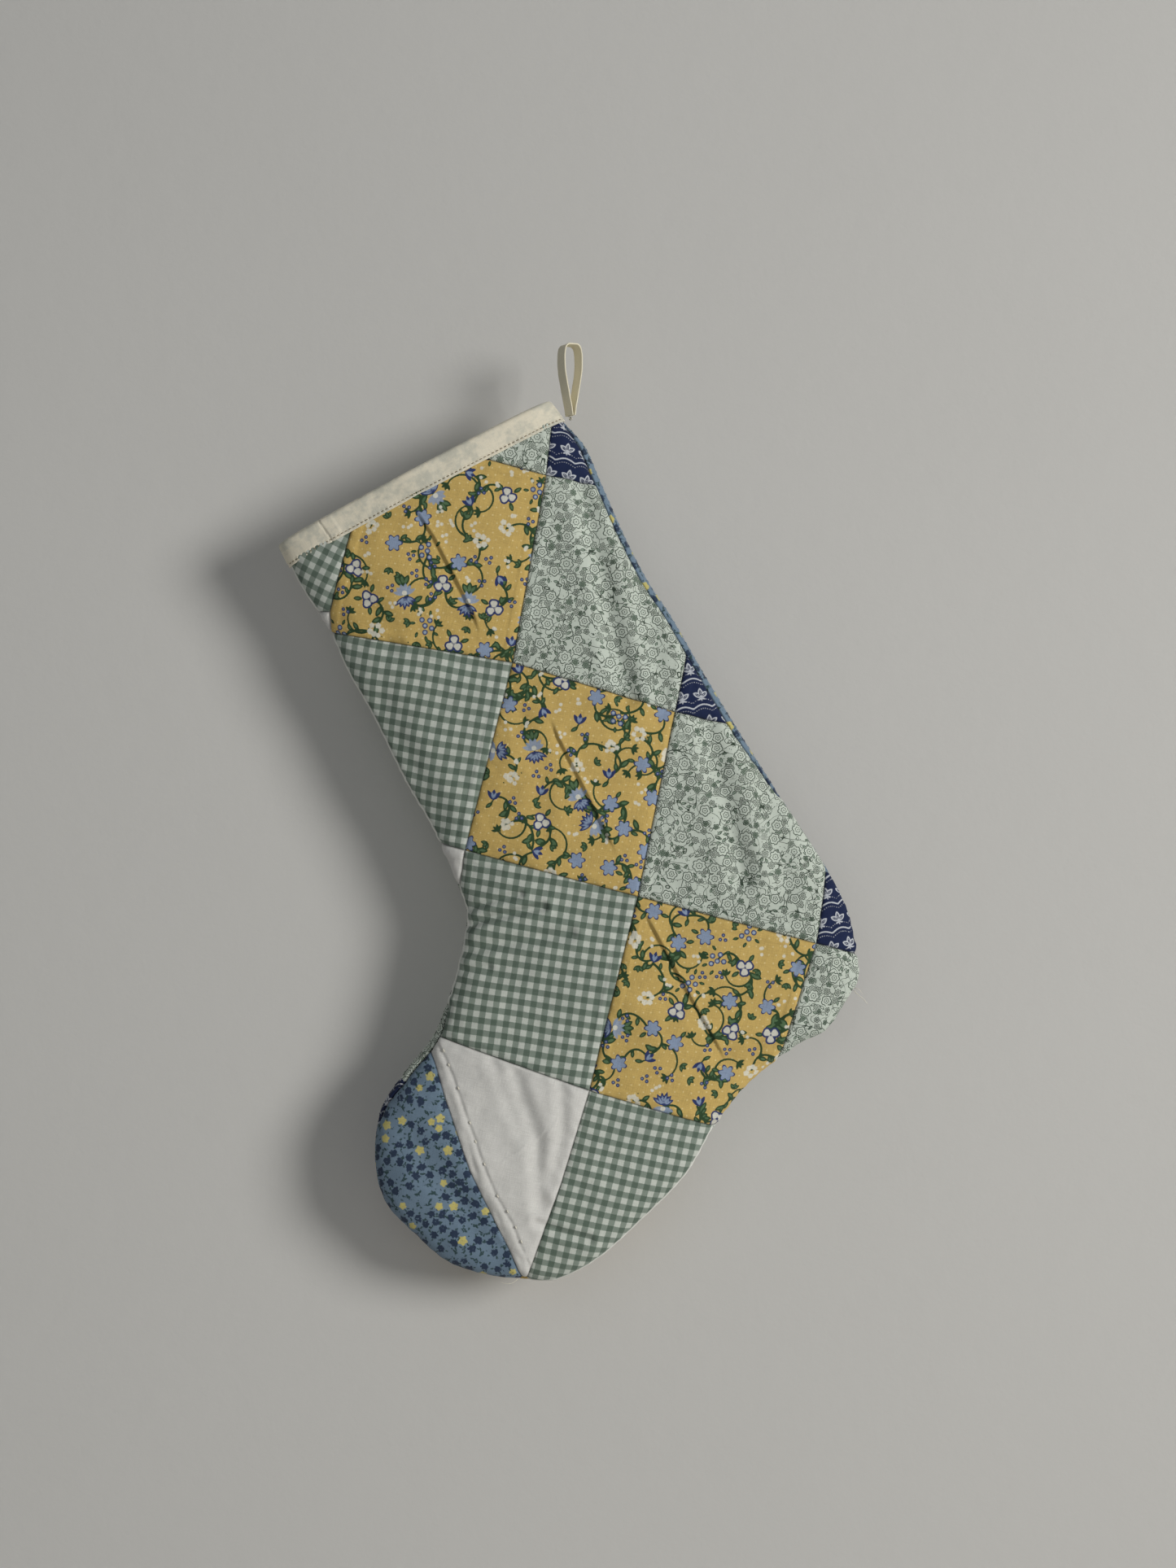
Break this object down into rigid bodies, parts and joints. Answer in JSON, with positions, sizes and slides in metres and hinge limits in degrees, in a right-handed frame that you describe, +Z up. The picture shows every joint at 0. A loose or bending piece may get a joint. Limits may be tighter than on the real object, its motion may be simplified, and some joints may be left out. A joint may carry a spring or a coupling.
{
  "type": "hanging stocking",
  "caption": "Quilted patchwork stocking with pieced front and back panels, batting, lining, bound open mouth and a ribbon hanging loop.",
  "frame": {"origin": "the middle of the hanging loop's inner top face, where it sits on a peg", "axes": "+Z up, -Y out of the front face, +X to the right when facing the front; the heel points to +X and the toe to -X; the stocking hangs tilted, as it does from its corner loop"},
  "size_m": [0.327, 0.0406, 0.5222],
  "materials": {
    "yellow_floral": "printed cotton, ochre ground with vines and small flowers",
    "sage_floral": "printed cotton, pale ground with fine grey-green flowers",
    "navy_print": "printed cotton, navy with off-white line leaves",
    "blue_calico": "printed cotton, dusty blue with small dark and yellow flowers",
    "sage_gingham": "woven check, grey-green and off-white",
    "white_linen": "slubbed plain weave",
    "batting": "needled cotton wadding",
    "lining_cloth": "plain cotton",
    "binding_cloth": "washed plain cotton strip, folded",
    "ribbon": "ribbed ribbon",
    "thread": "twisted cotton thread"
  },
  "bodies": {
    "loop": {"hanging_loop": "ribbon"},
    "tack": {"loop_bar_tack": "thread"},
    "leg": {"back_batting_leg": "batting", "back_blue_calf_strip": "blue_calico", "back_cuff_binding": "binding_cloth", "back_cuff_binding_topstitch": "thread", "back_edge_seam_thread": "thread", "back_gingham_cuff": "sage_gingham", "back_gingham_mid_leg": "sage_gingham", "back_linen_upper_leg": "white_linen", "back_lining_leg": "lining_cloth", "back_navy_upper_leg": "navy_print", "back_sage_upper_leg": "sage_floral", "back_yellow_cuff": "yellow_floral", "back_yellow_mid_leg": "yellow_floral", "front_edge_seam_thread": "thread"},
    "leg_front": {"front_batting_leg": "batting", "front_cuff_binding": "binding_cloth", "front_cuff_binding_topstitch": "thread", "front_gingham_cuff": "sage_gingham", "front_gingham_mid_leg": "sage_gingham", "front_linen_instep_upper": "white_linen", "front_lining_leg": "lining_cloth", "front_navy_calf": "navy_print", "front_navy_heel": "navy_print", "front_navy_loop_corner": "navy_print", "front_sage_calf": "sage_floral", "front_sage_cuff": "sage_floral", "front_sage_upper_leg": "sage_floral", "front_yellow_cuff": "yellow_floral", "front_yellow_mid_leg": "yellow_floral"},
    "foot": {"back_batting_foot": "batting", "back_gingham_heel": "sage_gingham", "back_linen_foot": "white_linen", "back_lining_foot": "lining_cloth", "back_navy_heel": "navy_print", "back_navy_toe": "navy_print", "back_sage_instep": "sage_floral", "back_sage_sole": "sage_floral", "back_yellow_sole": "yellow_floral", "foot_seam_thread": "thread", "front_batting_foot": "batting", "front_blue_toe": "blue_calico", "front_gingham_instep": "sage_gingham", "front_gingham_sole": "sage_gingham", "front_linen_instep_lower": "white_linen", "front_linen_toe": "white_linen", "front_lining_foot": "lining_cloth", "front_sage_heel": "sage_floral", "front_yellow_heel": "yellow_floral", "heel_thread_tail": "thread", "toe_hand_stitch": "thread", "toe_thread_tail": "thread"}
  },
  "joints": [
    {"name": "swing_on_loop", "type": "hinge", "parent": "loop", "child": "tack", "pos_m": [0.0004, 0, -0.0406], "axis": [0, 1, 0], "range_deg": [-18, 18]},
    {"name": "lift_off_wall", "type": "hinge", "parent": "tack", "child": "leg", "pos_m": [0.0004, 0, -0.0406], "axis": [-1, 0, 0], "range_deg": [0, 35]},
    {"name": "mouth_open", "type": "hinge", "parent": "leg", "child": "leg_front", "pos_m": [0.0374, -0.0182, -0.3056], "axis": [0.9668, 0, -0.2554], "range_deg": [0, 5], "stiffness_Nm_per_rad": 0.6},
    {"name": "foot_fold", "type": "hinge", "parent": "leg", "child": "foot", "pos_m": [0.0374, -0.0182, -0.3056], "axis": [-0.9668, 0, 0.2554], "range_deg": [0, 45], "stiffness_Nm_per_rad": 0.5}
  ]
}
